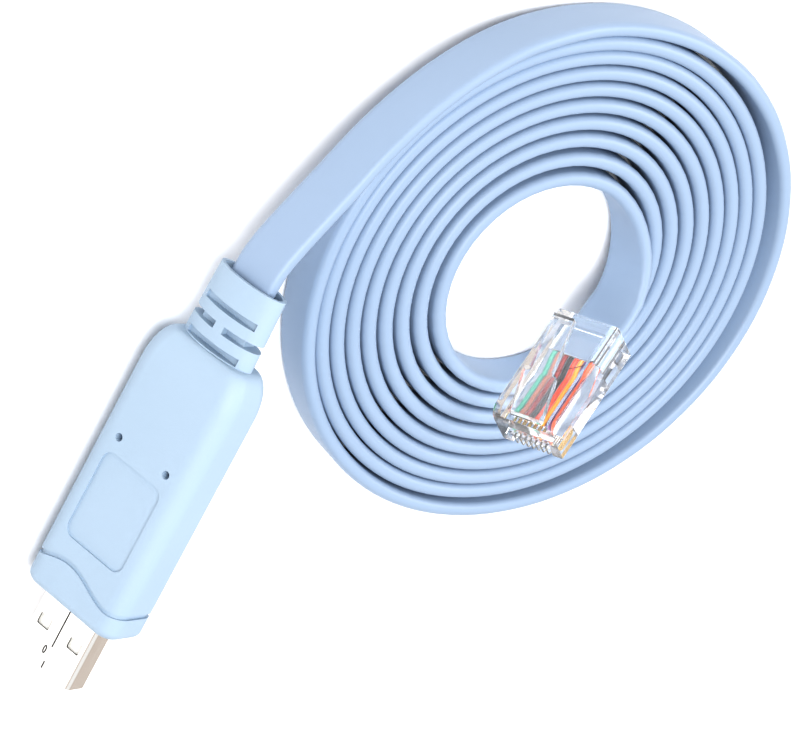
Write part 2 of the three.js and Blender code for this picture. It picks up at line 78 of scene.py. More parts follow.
# USB plug, from its mouth back along X, with Y out of the panel side and Z across
USB_LEAN = math.radians(20.8)
SHELL_SIZE = (18.8, 4.5, 12.0)
SHELL_CORNER = 0.6
SHELL_WALL = 0.3
SHELL_CLEAR = 0.1
SHELL_EXPOSED = 11.8
WINDOW_START = 5.75
WINDOW_SIZE = (1.9, 2.5)
WINDOW_CORNER = 0.25
WINDOW_SPACING = 6.8
SEAM_WIDTH = 0.24
SEAM_DEPTH = 0.2
SEAM_ACROSS = -0.1
SEAM_RUNS = ((-1.0, 1.4), (4.1, 12.5))
SEAM_LOCK = (3.0, -1.1)
SEAM_LOCK_SIZE = (1.5, 0.7)
BODY_SIZE = (48.0, 10.6, 19.6)
BODY_CORNER = 3.2
NOSE_ROUND = 1.5
BODY_BREAK = 0.14  # how far its edges are broken
FINE_BREAK = 0.05
SHOULDER_LENGTH = 7.0
RELIEF_ROOT = (6.4, 13.8)
RELIEF_END = (6.1, 13.0)
RELIEF_LENGTH = 12.4
RELIEF_WALL = 0.2
SLOT_WIDTH = 1.25
SLOT_FIRST = 0.2
RIB_WIDTH = 1.9
SIDE_BRIDGE = 1.3
MIDDLE_BRIDGE = 1.8
COLLAR_RECESS = 1.6
COLLAR_LIP = 0.7
LIGHT_HOLE_BACK = 28.6  # from the front rim
LIGHT_HOLE_SPACING = 10.4
LIGHT_HOLE_RADIUS = 0.68
LIGHT_HOLE_DEPTH = 2.2
PANEL_SIZE = (15.6, 12.4)
PANEL_CORNER = 1.8
PANEL_BACK = 18.2
PANEL_DEPTH = 0.35
WAVE_BACK = 5.6
WAVE_HEIGHT = 1.25
WAVE_CREST = -2.5
WAVE_GROOVE = 0.8
WAVE_DEPTH = 0.45

# RJ45 plug, from its back along X, with Y across and Z out of the latch side
PLUG_BACK = Vector((-5.0, -12.4, 11.0))  # from the coil's axis
PLUG_HEADING = math.radians(146.9)
PLUG_RISE = math.radians(23.7)
PLUG_ROLL = math.radians(85.3)
PLUG_SIZE = (22.0, 11.9, 7.9)
PLUG_EDGE = 0.35
PLUG_BREAK = 0.12
RAIL_WIDTH = 1.5
RAIL_HEIGHT = 1.4
RAIL_BACK = 2.2
NOSE_CHAMFER = 1.0
JACKET_GRIP = 6.5
BAY_CLEAR = 0.3
WIRE_PITCH = 1.02
WIRE_RADIUS = 0.42
WIRE_DROP = 1.5
WIRE_BEND = 4.0
WIRE_END = 19.6
WIRE_CLEAR = 0.1
WIRE_ROOM_FLARE = 0.6  # the room is this much taller at the jacket
BLADE_LENGTH = 4.2
BLADE_SETBACK = 0.9
BLADE_SLOT = 0.66
BLADE_THICK = 0.35
BLADE_RECESS = 0.25
BLADE_CORNER = 0.7
BLADE_TO_WIRE = 0.15
CRIMP_START = 3.0
CRIMP_END = 6.6
CRIMP_WIDTH = 7.6
CRIMP_DEPTH = 1.3
LATCH_WIDTH = 6.2
LATCH_TAIL_WIDTH = 4.2
LATCH_THICK = 1.2
LATCH_ROOT = 20.8
LATCH_SHOULDER = 14.0
LATCH_TIP = 4.6
LATCH_SHOULDER_RISE = 1.9
LATCH_TIP_RISE = 5.0
LATCH_FOOT_SINK = 0.2  # into the plug's top
LATCH_STEP = 0.4  # from the shoulders to the tail
LATCH_STEP_RISE = 0.15


# Camera

def look_axes():
    """The camera's right, up and forward directions."""
    forward = Vector((
        math.cos(LOOK_DOWN) * math.cos(LOOK_HEADING),
        math.cos(LOOK_DOWN) * math.sin(LOOK_HEADING),
        -math.sin(LOOK_DOWN),
    ))
    level = forward.cross(Vector((0, 0, 1))).normalized()
    steep = level.cross(forward)
    right = level * math.cos(LOOK_ROLL) + steep * math.sin(LOOK_ROLL)
    return right, forward.cross(right) * -1, forward


def add_camera():
    right, up, forward = look_axes()
    rim = COIL_AXIS + Vector((0, 0, CABLE_WIDTH))
    place = rim - right * RIM_RIGHT - up * RIM_ABOVE - forward * RIM_DISTANCE
    bpy.ops.object.camera_add()
    camera = bpy.context.object
    camera.name = "product_camera"
    camera.data.lens = LENS
    camera.data.sensor_width = SENSOR
    turn = Matrix((right, up, -forward)).transposed().to_4x4()
    camera.matrix_world = Matrix.Translation(place * MM) @ turn
    bpy.context.scene.camera = camera


add_camera()


# Modelling helpers

def select_only(piece):
    bpy.ops.object.select_all(action="DESELECT")
    piece.select_set(True)
    bpy.context.view_layer.objects.active = piece


@contextmanager
def editing(piece):
    select_only(piece)
    bpy.ops.object.mode_set(mode="EDIT")
    bpy.ops.mesh.select_all(action="DESELECT")
    yield
    bpy.ops.object.mode_set(mode="OBJECT")


def pick(piece, kind, test):
    """In edit mode, selects the points, edges or faces that pass a test on where they are."""
    bpy.ops.mesh.select_mode(type={"verts": "VERT", "edges": "EDGE", "faces": "FACE"}[kind])
    bpy.ops.mesh.select_all(action="DESELECT")
    mesh = bmesh.from_edit_mesh(piece.data)
    for element in getattr(mesh, kind):
        if test(element):
            element.select_set(True)
    bmesh.update_edit_mesh(piece.data)


def runs_along(edge, axis):
    way = edge.verts[1].co - edge.verts[0].co
    return abs(way[axis]) > 0.99 * way.length


def edge_middle(edge):
    return (edge.verts[0].co + edge.verts[1].co) / 2


def block(name, low, high):
    """A box between two corners."""
    bpy.ops.object.select_all(action="DESELECT")
    low, high = Vector(low), Vector(high)
    bpy.ops.mesh.primitive_cube_add(size=1, location=(low + high) / 2)
    piece = bpy.context.object
    piece.name = name
    piece.scale = high - low
    bpy.ops.object.transform_apply(location=True, rotation=True, scale=True)
    return piece


def round_edges(piece, test, radius, steps):
    with editing(piece):
        pick(piece, "edges", test)
        bpy.ops.mesh.bevel(offset=radius, segments=steps, profile=0.5, affect="EDGES")


def combine(piece, tool, operation="DIFFERENCE"):
    """Cuts a tool out of a piece or joins it on, and removes the tool."""
    change = piece.modifiers.new("combine", "BOOLEAN")
    change.material_mode = "TRANSFER"
    change.operation = operation
    change.object = tool
    change.solver = "EXACT"
    select_only(piece)
    bpy.ops.object.modifier_apply(modifier=change.name)
    bpy.data.objects.remove(tool)


def soften(piece, width, angle=30):
    """Breaks the sharp edges of a finished shape."""
    change = piece.modifiers.new("soften", "BEVEL")
    change.width = width
    change.segments = 2
    change.limit_method = "ANGLE"
    change.angle_limit = math.radians(angle)
    change.use_clamp_overlap = True
    select_only(piece)
    bpy.ops.object.modifier_apply(modifier=change.name)


def settle(piece, placement, angle=40):
    """Puts a finished piece in its place in metres, with its object at the origin."""
    select_only(piece)
    piece.matrix_world = placement @ Matrix.Scale(MM, 4)
    bpy.ops.object.transform_apply(location=True, rotation=True, scale=True)
    bpy.ops.object.shade_smooth_by_angle(angle=math.radians(angle))
    change = piece.modifiers.new("even_shading", "WEIGHTED_NORMAL")
    change.mode = "FACE_AREA"
    change.keep_sharp = True
    bpy.ops.object.modifier_apply(modifier=change.name)


def wear(piece, material):
    piece.data.materials.clear()
    piece.data.materials.append(material)


def usb_placement():
    mouth = Vector((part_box("usb_shell")[0][0], middle("usb_shell").y, middle("usb_shell").z))
    return Matrix.Translation(mouth) @ Matrix.Rotation(USB_LEAN, 4, "X")


def plug_placement():
    turn = (Matrix.Rotation(PLUG_HEADING, 4, "Z") @ Matrix.Rotation(-PLUG_RISE, 4, "Y")
            @ Matrix.Rotation(PLUG_ROLL, 4, "X"))
    return Matrix.Translation((COIL_AXIS + PLUG_BACK) * MM) @ turn


# Materials

def grain_group():
    """Fine moulded grain: a height for bumps and a soft mottle for colours and roughness."""
    group = bpy.data.node_groups.new("moulded_grain", "ShaderNodeTree")
    for name, kind in (("Vector", "NodeSocketVector"), ("Grain Scale", "NodeSocketFloat"),
                       ("Mottle Scale", "NodeSocketFloat")):
        group.interface.new_socket(name, in_out="INPUT", socket_type=kind)
    for name in ("Height", "Mottle"):
        group.interface.new_socket(name, in_out="OUTPUT", socket_type="NodeSocketFloat")
    nodes, links = group.nodes, group.links
    inputs = nodes.new("NodeGroupInput")
    outputs = nodes.new("NodeGroupOutput")
    grain = nodes.new("ShaderNodeTexNoise")
    grain.inputs["Detail"].default_value = 3
    mottle = nodes.new("ShaderNodeTexNoise")
    mottle.inputs["Detail"].default_value = 2
    for noise, scale, out in ((grain, "Grain Scale", "Height"), (mottle, "Mottle Scale", "Mottle")):
        links.new(inputs.outputs["Vector"], noise.inputs["Vector"])
        links.new(inputs.outputs[scale], noise.inputs["Scale"])
        links.new(noise.outputs["Fac"], outputs.inputs[out])
    return group


GRAIN = grain_group()


def new_material(name):
    material = bpy.data.materials.new(name)
    material.use_nodes = True
    tree = material.node_tree
    return material, tree, tree.nodes["Principled BSDF"]


def mixed(tree, factor, low, high):
    """A mix of two colours, by a factor that changes over the surface."""
    mix = tree.nodes.new("ShaderNodeMix")
    mix.data_type = "RGBA"
    mix.inputs["A"].default_value = (*low, 1)
    mix.inputs["B"].default_value = (*high, 1)
    tree.links.new(factor, mix.inputs["Factor"])
    return mix.outputs["Result"]


def ranged(tree, value, low, high):
    span = tree.nodes.new("ShaderNodeMapRange")
    span.inputs["From Min"].default_value = 0.3
    span.inputs["From Max"].default_value = 0.7
    span.inputs["To Min"].default_value = low
    span.inputs["To Max"].default_value = high
    tree.links.new(value, span.inputs["Value"])
    return span.outputs["Result"]


def moulded_plastic(name, low, high, roughness, grain=2600, mottle=60, bump=0.04):
    """Opaque plastic with a fine grain and a slight mottle in colour and gloss."""
    material, tree, shader = new_material(name)
    place = tree.nodes.new("ShaderNodeTexCoord")
    group = tree.nodes.new("ShaderNodeGroup")
    group.node_tree = GRAIN
    group.inputs["Grain Scale"].default_value = grain
    group.inputs["Mottle Scale"].default_value = mottle
    tree.links.new(place.outputs["Object"], group.inputs["Vector"])
    tree.links.new(mixed(tree, group.outputs["Mottle"], low, high), shader.inputs["Base Color"])
    tree.links.new(ranged(tree, group.outputs["Mottle"], *roughness), shader.inputs["Roughness"])
    rough = tree.nodes.new("ShaderNodeBump")
    rough.inputs["Strength"].default_value = bump
    rough.inputs["Distance"].default_value = 0.0002
    tree.links.new(group.outputs["Height"], rough.inputs["Height"])
    tree.links.new(rough.outputs["Normal"], shader.inputs["Normal"])
    return material


def metal(name, low, high, roughness):
    """Plated metal with fine brushed lines along X."""
    material, tree, shader = new_material(name)
    shader.inputs["Metallic"].default_value = 1.0
    place = tree.nodes.new("ShaderNodeTexCoord")
    stretch = tree.nodes.new("ShaderNodeMapping")
    stretch.inputs["Scale"].default_value = (40, 3000, 3000)
    noise = tree.nodes.new("ShaderNodeTexNoise")
    noise.inputs["Scale"].default_value = 1.0
    tree.links.new(place.outputs["Object"], stretch.inputs["Vector"])
    tree.links.new(stretch.outputs["Vector"], noise.inputs["Vector"])
    tree.links.new(mixed(tree, noise.outputs["Fac"], low, high), shader.inputs["Base Color"])
    tree.links.new(ranged(tree, noise.outputs["Fac"], *roughness), shader.inputs["Roughness"])
    return material


def clear_plastic():
    material, tree, shader = new_material("clear_polycarbonate")
    shader.inputs["Base Color"].default_value = (0.99, 0.995, 1, 1)
    shader.inputs["Transmission Weight"].default_value = 0.96
    shader.inputs["Roughness"].default_value = 0.06
    shader.inputs["IOR"].default_value = 1.5
    return material


OVERMOLD = moulded_plastic(
    "pale_blue_overmold", (0.375, 0.475, 0.58), (0.405, 0.505, 0.61), (0.5, 0.6), bump=0.12)
JACKET = moulded_plastic(
    "pale_blue_jacket", (0.31, 0.40, 0.525), (0.34, 0.43, 0.56), (0.36, 0.46), mottle=25, bump=0.03)
TONGUE = moulded_plastic("white_tongue", (0.85, 0.85, 0.82), (0.9, 0.9, 0.87), (0.4, 0.5))
# Near-black metal as painted shade: the walls of the shell's windows, seams and lock groove take it when
# they are cut, in place of the shadow that falls in them
SEAM_SHADE = metal("painted_seam_shade", (0.05, 0.05, 0.05), (0.08, 0.08, 0.08), (0.5, 0.6))
STEEL = metal("nickel_plated_steel", (0.86, 0.85, 0.83), (0.95, 0.94, 0.92), (0.14, 0.26))
GOLD = metal("gold_plate", (0.83, 0.58, 0.2), (0.95, 0.7, 0.3), (0.15, 0.25))
CLEAR = clear_plastic()
WIRE_COLOURS = {
    "wire_green": (0.03, 0.38, 0.26), "wire_brown": (0.45, 0.16, 0.09), "wire_red": (0.3, 0.02, 0.015),
    "wire_black": (0.012, 0.01, 0.01), "wire_orange": (0.85, 0.08, 0.02), "wire_yellow": (0.95, 0.36, 0.01),
    "wire_purple": (0.2, 0.04, 0.24), "wire_coral": (0.85, 0.15, 0.05),
}


# The flat cable, from inside the strain relief, round the coil, and into the clear plug

RELIEF_BACK = SHELL_EXPOSED + BODY_SIZE[0] + RELIEF_LENGTH
LEAD_START = (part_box("usb_shell")[0][0] / MM + RELIEF_BACK - COIL_AXIS.x, middle("usb_shell").y / MM
              - COIL_AXIS.y, middle("usb_shell").z / MM)

# Centre line of the outer end from the coil's axis, each point with how far the top of the cable
# leans inwards, in degrees
LEAD_ROUTE = [
    ((LEAD_START[0] - 5.0, LEAD_START[1], LEAD_START[2]), 20.8),
    ((LEAD_START[0] - 1.0, LEAD_START[1], LEAD_START[2]), 20.8),
    ((-8.0, 55.6, 10.1), 20.8),
    ((-4.5, 54.6, 10.0), 20.5),
    ((0.0, 52.9, 9.8), 20.0),
    ((7.0, 49.9, 9.3), 18.5),
    ((15.5, 46.1, 8.5), 16.0),
    ((24.2, 40.8, 7.6), 12.0),
    ((31.8, 34.1, 6.6), 8.0),
    ((37.6, 26.4, 5.6), 4.0),
]

# The winding: turns are counted clockwise, and its middle turn is number MIDDLE_TURN
COIL_START = 0.756
COIL_END = 9.875
COIL_POINTS = 24  # in each turn
TURN_ZERO = math.radians(-68.0)  # where each turn begins, round the coil's axis
MIDDLE_TURN = 5
MIDDLE_RADIUS = 33.41
TURN_PITCH = 2.895
PITCH_GROWTH = 0.04
BULGE = 1.5  # the outermost turn stands off the others here
BULGE_AT = 0.96
BULGE_RISE = 0.13
BULGE_FALL = 0.28
OUTER_LEAN = -19.0  # and its top leans outwards
LEAN_AT = 1.05
LEAN_SPREAD = 0.13
DRIFT = 0.8  # the middle turns lie this far off the outer ones
DRIFT_TO = math.radians(60)
DRIFT_FROM = 1.2  # in turns
DRIFT_FADE = 2  # over the last turns

# Centre line of the inner end, from the bore up to the clear plug
TAIL_ROUTE = [
    ((14.2, -11.4, 4.45), -2.0),
    ((10.6, -14.5, 5.0), -8.0),
    ((6.1, -16.4, 6.2), -16.0),
    ((1.2, -16.4, 7.9), -22.0),
    ((-2.7, -14.1, 9.8), -24.0),
]


def wound(turn):
    """Centre of the cable after so many turns of the winding, from the outside inwards."""
    along = turn - MIDDLE_TURN
    radius = MIDDLE_RADIUS - TURN_PITCH * along - PITCH_GROWTH * along * along
    angle = TURN_ZERO - 2 * math.pi * turn
    off = turn - BULGE_AT
    radius += BULGE * math.exp(-(off / (BULGE_RISE if off < 0 else BULGE_FALL)) ** 2)
    drift = DRIFT * min(1, max(0, turn - DRIFT_FROM), max(0, (COIL_END - turn) / DRIFT_FADE))
    return Vector((
        radius * math.cos(angle) + drift * math.cos(DRIFT_TO),
        radius * math.sin(angle) + drift * math.sin(DRIFT_TO),
        CABLE_WIDTH / 2,
    ))


def cable_stations():
    """Centres of the cable from end to end, each with the direction of its width."""
    leaning = list(LEAD_ROUTE)
    steps = round((COIL_END - COIL_START) * COIL_POINTS)
    for i in range(steps + 1):
        turn = COIL_START + (COIL_END - COIL_START) * i / steps
        lean = OUTER_LEAN * math.exp(-((turn - LEAN_AT) / LEAN_SPREAD) ** 2)
        leaning.append((wound(turn), lean))
    leaning += TAIL_ROUTE
    stations = []
    for i, (place, lean) in enumerate(leaning):
        way = Vector(leaning[min(i + 1, len(leaning) - 1)][0]) - Vector(leaning[max(i - 1, 0)][0])
        outward = Vector((-way.y, way.x, 0)).normalized()
        tilt = math.radians(lean)
        stations.append((Vector(place), Vector((0, 0, 1)) * math.cos(tilt) - outward * math.sin(tilt)))
    turn = plug_placement().to_3x3()
    across = turn @ Vector((0, 1, 0))
    for depth in (0, JACKET_GRIP / 2, JACKET_GRIP):
        stations.append((PLUG_BACK + turn @ Vector((depth, 0, 0)), across))
    return stations


def smooth_route(stations, spacing):
    """Even steps along one smooth curve through the stations."""
    places = [place for place, _ in stations]
    widths = [width for _, width in stations]
    fine = []
    for i in range(len(places) - 1):
        before = places[max(i - 1, 0)]
        after = places[min(i + 2, len(places) - 1)]
        a, b = places[i], places[i + 1]
        count = max(2, math.ceil((b - a).length / ROUTE_STEP))
        for step in range(count):
            t = step / count
            leave, arrive = (b - before) / 2, (after - a) / 2
            point = ((2 * t**3 - 3 * t**2 + 1) * a + (t**3 - 2 * t**2 + t) * leave
                     + (3 * t**2 - 2 * t**3) * b + (t**3 - t**2) * arrive)
            ease = t * t * (3 - 2 * t)
            fine.append((point, widths[i].lerp(widths[i + 1], ease)))
    fine.append(stations[-1])
    even = [fine[0]]
    travelled = 0
    for (a, _), (b, width) in zip(fine, fine[1:]):
        travelled += (b - a).length
        if travelled >= spacing:
            even.append((b, width))
            travelled = 0
    if (even[-1][0] - fine[-1][0]).length > 0.2 * spacing:
        even.append(fine[-1])
    else:
        even[-1] = fine[-1]
    return even


def cable_section():
    """Outline of the cable: across its thickness and along its width."""
    outline = []
    w, t = CABLE_WIDTH / 2 - CABLE_CORNER, CABLE_THICK / 2 - CABLE_CORNER
    for quarter, (side, top) in enumerate(((1, 1), (-1, 1), (-1, -1), (1, -1))):
        for step in range(CORNER_STEPS + 1):
            angle = math.pi / 2 * (quarter + step / CORNER_STEPS)
            outline.append((side * t + CABLE_CORNER * math.cos(angle),
                            top * w + CABLE_CORNER * math.sin(angle)))
    return outline


def flat_cable():
    route = smooth_route(cable_stations(), CABLE_STEP)
    section = cable_section()
    points, faces, line = [], [], []
    for i, (place, width) in enumerate(route):
        before = route[max(i - 1, 0)][0]
        after = route[min(i + 1, len(route) - 1)][0]
        way = (after - before).normalized()
        width = (width - way * width.dot(way)).normalized()
        thick = way.cross(width)
        line.append((COIL_AXIS + place) * MM)
        for t, w in section:
            spot = COIL_AXIS + place + thick * t + width * w
            points.append(Vector((spot.x, spot.y, max(spot.z, 0))) * MM)
    ring = len(section)
    for i in range(len(route) - 1):
        for j in range(ring):
            k = (j + 1) % ring
            faces.append((i * ring + j, (i + 1) * ring + j, (i + 1) * ring + k, i * ring + k))
    faces.append(tuple(range(ring)))
    faces.append(tuple(reversed(range(len(points) - ring, len(points)))))
    mesh = bpy.data.meshes.new("flat_cable")
    mesh.from_pydata(points, [], faces)
    piece = bpy.data.objects.new("flat_cable", mesh)
    bpy.context.collection.objects.link(piece)
    with editing(piece):
        bpy.ops.mesh.select_all(action="SELECT")
        bpy.ops.mesh.normals_make_consistent(inside=False)
    select_only(piece)
    bpy.ops.object.shade_smooth_by_angle(angle=math.radians(50))
    wear(piece, JACKET)
    return piece, line


cable, cable_line = flat_cable()
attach(cable, "root")
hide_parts("cable_lead", "cable_coil", "cable_tail", "cable_end")


# USB plug: the blue moulding with its strain relief

BODY_FRONT = SHELL_EXPOSED
BODY_BACK = BODY_FRONT + BODY_SIZE[0]
HALF_THICK = BODY_SIZE[1] / 2
HALF_WIDTH = BODY_SIZE[2] / 2
SHOULDER_STEPS = 9


def section_steps():
    """Where the shoulder's sections stand, each with its thickness and width."""
    steps = []
    for i in range(SHOULDER_STEPS + 1):
        turn = math.pi / 2 * i / SHOULDER_STEPS
        inset = 1 - math.cos(turn)
        steps.append((BODY_BACK - SHOULDER_LENGTH * (1 - math.sin(turn)),
                      BODY_SIZE[1] - (BODY_SIZE[1] - RELIEF_ROOT[0]) * inset,
                      BODY_SIZE[2] - (BODY_SIZE[2] - RELIEF_ROOT[1]) * inset))
    return steps


def moulded_body():
    start = BODY_BACK - SHOULDER_LENGTH
    body = block("usb_moulding", (BODY_FRONT, -HALF_THICK, -HALF_WIDTH), (start, HALF_THICK, HALF_WIDTH))
    round_edges(body, lambda edge: runs_along(edge, 0), BODY_CORNER, 8)
    round_edges(body, lambda edge: abs(edge_middle(edge).x - BODY_FRONT) < 0.01, NOSE_ROUND, 6)
    steps = section_steps()
    with editing(body):
        pick(body, "faces", lambda face: face.normal.x > 0.99)
        for (x0, thick0, wide0), (x1, thick1, wide1) in zip(steps, steps[1:]):
            bpy.ops.mesh.extrude_region_move(TRANSFORM_OT_translate={"value": (x1 - x0, 0, 0)})
            bpy.ops.transform.resize(
                value=(1, thick1 / thick0, wide1 / wide0), center_override=(x1, 0, 0))
    return body


def wave_cutter():
    """A thin band that waves across the body, hollow up to the bottom of the groove."""
    reach = HALF_WIDTH + 1
    columns = 28
    band = block("wave_cutter", (BODY_FRONT + WAVE_BACK - WAVE_GROOVE / 2, -BODY_SIZE[1], -reach),
                 (BODY_FRONT + WAVE_BACK + WAVE_GROOVE / 2, BODY_SIZE[1], reach))
    with editing(band):
        for i in range(1, columns):
            bpy.ops.mesh.select_all(action="SELECT")
            bpy.ops.mesh.bisect(plane_co=(0, 0, -reach + 2 * reach * i / columns), plane_no=(0, 0, 1))
        for i in range(columns + 1):
            across = -reach + 2 * reach * i / columns
            pick(band, "verts", lambda vert: abs(vert.co.z - across) < 0.01)
            phase = 2 * math.pi * (across - WAVE_CREST) / BODY_SIZE[2]
            bpy.ops.transform.translate(value=(WAVE_HEIGHT * math.cos(phase), 0, 0))
    core = block("wave_core", (BODY_FRONT - 1, -HALF_THICK + WAVE_DEPTH, -HALF_WIDTH + WAVE_DEPTH),
                 (BODY_BACK, HALF_THICK - WAVE_DEPTH, HALF_WIDTH - WAVE_DEPTH))
    round_edges(core, lambda edge: runs_along(edge, 0), BODY_CORNER - WAVE_DEPTH, 8)
    combine(band, core)
    return band


def oval_bar(name, start, end, half_thick, half_wide):
    """A bar along X with an oval section."""
    bpy.ops.object.select_all(action="DESELECT")
    bpy.ops.mesh.primitive_cylinder_add(
        vertices=64, radius=1, depth=end - start, rotation=(0, math.pi / 2, 0),
        location=((start + end) / 2, 0, 0))
    bar = bpy.context.object
    bar.name = name
    bpy.ops.object.transform_apply(location=False, rotation=True, scale=True)
    bar.scale = (1, half_thick, half_wide)
    bpy.ops.object.transform_apply(location=True, rotation=True, scale=True)
    return bar


def strain_relief():
    """The tapered sleeve round the cable, with its slots and the opening in its collar."""
    thick, wide = RELIEF_ROOT[0] / 2, RELIEF_ROOT[1] / 2
    sleeve = oval_bar("strain_relief", BODY_BACK - 1, RELIEF_BACK, thick, wide)
    with editing(sleeve):
        pick(sleeve, "faces", lambda face: face.normal.x > 0.99)
        bpy.ops.transform.resize(
            value=(1, RELIEF_END[0] / RELIEF_ROOT[0], RELIEF_END[1] / RELIEF_ROOT[1]),
            center_override=(RELIEF_BACK, 0, 0))
    core_thick = CABLE_THICK / 2 + RELIEF_WALL
    core_wide = CABLE_WIDTH / 2 + RELIEF_WALL
    face_half = RELIEF_END[1] / 2 - SIDE_BRIDGE
    for index in range(3):
        start = BODY_BACK + SLOT_FIRST + index * (SLOT_WIDTH + RIB_WIDTH)
        end = start + SLOT_WIDTH
        for side in (-1, 1):
            if index == 1:
                cuts = [((start, -9, MIDDLE_BRIDGE / 2), (end, -core_thick, 9)),
                        ((start, core_thick, MIDDLE_BRIDGE / 2), (end, 9, 9)),
                        ((start, -9, core_wide), (end, 9, 9))]
                for low, high in cuts:
                    ends = sorted((side * low[2], side * high[2]))
                    combine(sleeve, block("slot", (low[0], low[1], ends[0]), (high[0], high[1], ends[1])))
            else:
                ends = sorted((side * core_thick, side * 9))
                combine(sleeve, block("slot", (start, ends[0], -face_half), (end, ends[1], face_half)))
    combine(sleeve, oval_bar("opening", RELIEF_BACK - COLLAR_RECESS, RELIEF_BACK + 1,
                             RELIEF_END[0] / 2 - COLLAR_LIP, RELIEF_END[1] / 2 - COLLAR_LIP))
    return sleeve


def usb_moulding():
    body = moulded_body()
    combine(body, strain_relief(), "UNION")
    shell_thick, shell_wide = SHELL_SIZE[1] / 2 + SHELL_CLEAR, SHELL_SIZE[2] / 2 + SHELL_CLEAR
    shell_room = block("shell_room", (BODY_FRONT - 1, -shell_thick, -shell_wide),
                       (SHELL_SIZE[0] + 2 * SHELL_CLEAR, shell_thick, shell_wide))
    round_edges(shell_room, lambda edge: runs_along(edge, 0), SHELL_CORNER + SHELL_CLEAR, 4)
    combine(body, shell_room)
    soften(body, BODY_BREAK)
    combine(body, wave_cutter())
    panel_x = BODY_FRONT + PANEL_BACK
    panel = block("panel", (panel_x - PANEL_SIZE[0] / 2, HALF_THICK - PANEL_DEPTH, -PANEL_SIZE[1] / 2),
                  (panel_x + PANEL_SIZE[0] / 2, HALF_THICK + 1, PANEL_SIZE[1] / 2))
    round_edges(panel, lambda edge: runs_along(edge, 1), PANEL_CORNER, 6)
    combine(body, panel)
    for side in (-1, 1):
        bpy.ops.object.select_all(action="DESELECT")
        bpy.ops.mesh.primitive_cylinder_add(
            vertices=24, radius=LIGHT_HOLE_RADIUS, depth=2 * LIGHT_HOLE_DEPTH,
            rotation=(math.pi / 2, 0, 0),
            location=(BODY_FRONT + LIGHT_HOLE_BACK, HALF_THICK, side * LIGHT_HOLE_SPACING / 2))
        combine(body, bpy.context.object)
    soften(body, FINE_BREAK, angle=55)
    settle(body, usb_placement())
    wear(body, OVERMOLD)
    return body


moulding = usb_moulding()
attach(moulding, "root")
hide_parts("usb_overmold")


# USB plug: the steel shell, with the tongue and contacts of the frame inside it

def steel_shell():
    length, thick, wide = SHELL_SIZE
    shell = block("steel_shell", (0, -thick / 2, -wide / 2), (length, thick / 2, wide / 2))
    round_edges(shell, lambda edge: runs_along(edge, 0), SHELL_CORNER, 5)
    wear(shell, STEEL)
    with editing(shell):
        pick(shell, "faces", lambda face: abs(face.normal.x) > 0.99)
        bpy.ops.mesh.inset(thickness=SHELL_WALL)
        bpy.ops.mesh.delete(type="FACE")
        bpy.ops.mesh.select_mode(type="EDGE")
        bpy.ops.mesh.select_non_manifold()
        bpy.ops.mesh.bridge_edge_loops()
    for side in (-1, 1):
        across = side * WINDOW_SPACING / 2
        window = block("window", (WINDOW_START, -thick, across - WINDOW_SIZE[1] / 2),
                       (WINDOW_START + WINDOW_SIZE[0], thick, across + WINDOW_SIZE[1] / 2))
        round_edges(window, lambda edge: runs_along(edge, 1), WINDOW_CORNER, 3)
        # The window's walls take the painted shade when it is cut out
        wear(window, SEAM_SHADE)
        combine(shell, window)
    soften(shell, FINE_BREAK)
    for start, end in SEAM_RUNS:
        seam = block("seam", (start, thick / 2 - SEAM_DEPTH, SEAM_ACROSS - SEAM_WIDTH / 2),
                     (end, thick, SEAM_ACROSS + SEAM_WIDTH / 2))
        # The seam's walls and floor take the painted shade when it is cut
        wear(seam, SEAM_SHADE)
        combine(shell, seam)
    lock = oval_groove(thick / 2)
    # The lock groove's walls and floor take the painted shade too
    wear(lock, SEAM_SHADE)
    combine(shell, lock)
    settle(shell, usb_placement())
    return shell


def oval_groove(face):
    """The outline of the tab that locks the seam."""
    rings = []
    for shrink in (0, SEAM_WIDTH):
        bpy.ops.object.select_all(action="DESELECT")
        bpy.ops.mesh.primitive_cylinder_add(
            vertices=32, radius=1, depth=2 * SEAM_DEPTH * (1 + shrink), rotation=(math.pi / 2, 0, 0),
            location=(SEAM_LOCK[0], face, SEAM_LOCK[1]))
        ring = bpy.context.object
        ring.scale = (SEAM_LOCK_SIZE[0] / 2 - shrink, SEAM_LOCK_SIZE[1] / 2 - shrink, 1)
        bpy.ops.object.transform_apply(location=True, rotation=True, scale=True)
        rings.append(ring)
    combine(rings[0], rings[1])
    return rings[0]


shell = steel_shell()
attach(shell, "root")
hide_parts("usb_shell")
wear(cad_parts["usb_insulator"], TONGUE)
for number in range(1, 5):
    wear(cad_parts[f"usb_contact_{number}"], GOLD)


# RJ45 plug: the clear body with its latch

